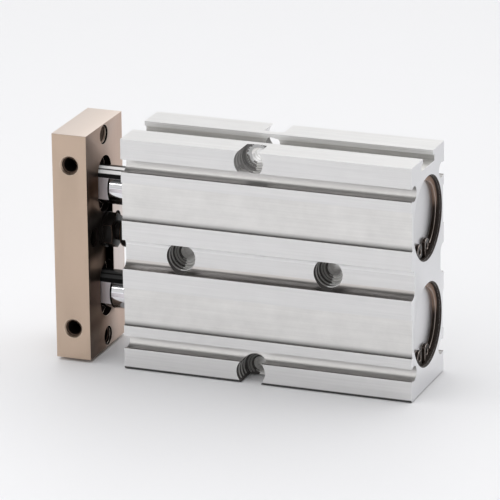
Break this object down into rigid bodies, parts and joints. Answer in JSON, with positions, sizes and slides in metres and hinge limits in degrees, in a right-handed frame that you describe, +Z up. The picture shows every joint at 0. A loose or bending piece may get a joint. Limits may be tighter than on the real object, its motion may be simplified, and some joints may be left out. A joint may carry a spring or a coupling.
{
  "type": "guided pneumatic cylinder",
  "caption": "Compact guided pneumatic cylinder: slotted extruded body with parallel bores, and rods joined by an end plate that slides out square without turning.",
  "frame": {"origin": "middle of the assembly's footprint with the rods retracted, on the surface it stands on", "axes": "+X along the rods towards the rear end, rods extend towards -X; +Y across the thin way towards the air ports; +Z up"},
  "size_m": [0.1544, 0.04, 0.098],
  "materials": {
    "body_aluminium": "satin anodised",
    "plate_aluminium": "satin champagne anodised",
    "cover_aluminium": "turned",
    "piston_aluminium": "turned",
    "bearing_bronze": "turned",
    "rod_chrome": "polished hard chrome",
    "black_steel": "black oxide",
    "zinc_steel": "zinc plated",
    "spring_steel": "dark phosphated",
    "seal_rubber": "matt",
    "bumper_rubber": "matt",
    "wear_plastic": "matt",
    "magnet": "matt"
  },
  "bodies": {
    "cylinder": {"body": "body_aluminium", "front_cover_upper": "cover_aluminium", "front_cover_lower": "cover_aluminium", "rod_bush_upper": "bearing_bronze", "rod_bush_lower": "bearing_bronze", "rod_seal_upper": "seal_rubber", "rod_seal_lower": "seal_rubber", "front_cover_ring_upper": "seal_rubber", "front_cover_ring_lower": "seal_rubber", "front_circlip_upper": "spring_steel", "front_circlip_lower": "spring_steel", "rear_cover_upper": "cover_aluminium", "rear_cover_lower": "cover_aluminium", "rear_cover_ring_upper": "seal_rubber", "rear_cover_ring_lower": "seal_rubber", "rear_circlip_upper": "spring_steel", "rear_circlip_lower": "spring_steel"},
    "rod_assembly": {"end_plate": "plate_aluminium", "stop_screw": "black_steel", "stop_lock_nut": "black_steel", "stop_washer": "zinc_steel", "stop_bumper": "bumper_rubber", "piston_rod_upper": "rod_chrome", "piston_rod_lower": "rod_chrome", "rod_screw_upper": "black_steel", "rod_screw_lower": "black_steel", "piston_upper": "piston_aluminium", "piston_lower": "piston_aluminium", "piston_seal_upper": "seal_rubber", "piston_seal_lower": "seal_rubber", "wear_ring_upper": "wear_plastic", "wear_ring_lower": "wear_plastic", "magnet_ring_upper": "magnet", "magnet_ring_lower": "magnet", "front_bumper_upper": "bumper_rubber", "front_bumper_lower": "bumper_rubber", "rear_bumper_upper": "bumper_rubber", "rear_bumper_lower": "bumper_rubber", "piston_nut_upper": "zinc_steel", "piston_nut_lower": "zinc_steel"}
  },
  "joints": [
    {"name": "stroke", "type": "slide", "parent": "cylinder", "child": "rod_assembly", "axis": [-1, 0, 0], "range_m": [0, 0.05]}
  ]
}
